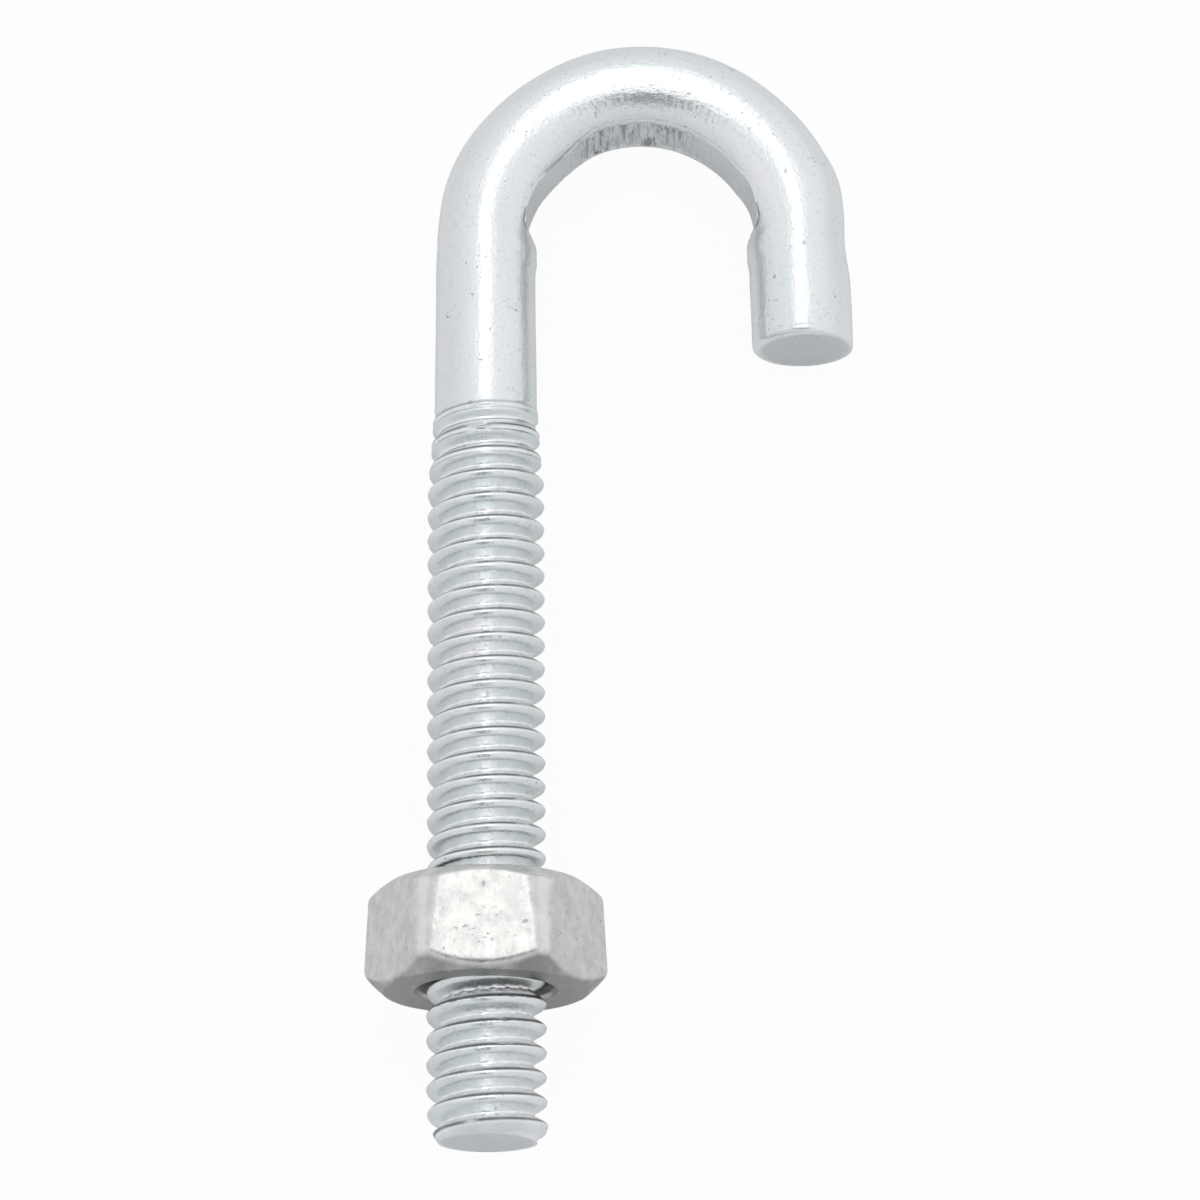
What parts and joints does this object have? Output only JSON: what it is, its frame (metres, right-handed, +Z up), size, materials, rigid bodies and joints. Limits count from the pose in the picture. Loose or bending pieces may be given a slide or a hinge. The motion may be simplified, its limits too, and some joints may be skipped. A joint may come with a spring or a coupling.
{
  "type": "j bolt",
  "caption": "Round steel rod with a rolled thread and a hex nut at one end, bent into an open hook at the other.",
  "frame": {"origin": "centre of the bounding box, on the surface the bolt lies on", "axes": "+Y runs along the bolt from its threaded end to its hook, which dips by the resting tilt; +X is the side that the hook curls towards; +Z up"},
  "size_m": [0.0258, 0.0599, 0.0114],
  "materials": {
    "bolt_steel": "bright zinc plate over rolled and bent steel, satin with faint pits",
    "nut_steel": "zinc plate over cold-formed steel, slightly mottled"
  },
  "bodies": {
    "bolt": {"j_bolt": "bolt_steel"},
    "nut": {"hex_nut": "nut_steel"}
  },
  "joints": [
    {"name": "nut_travel", "type": "slide", "parent": "bolt", "child": "nut", "axis": [0, 0.9979, -0.0643], "range_m": [-0.01397, 0.02032]}
  ]
}
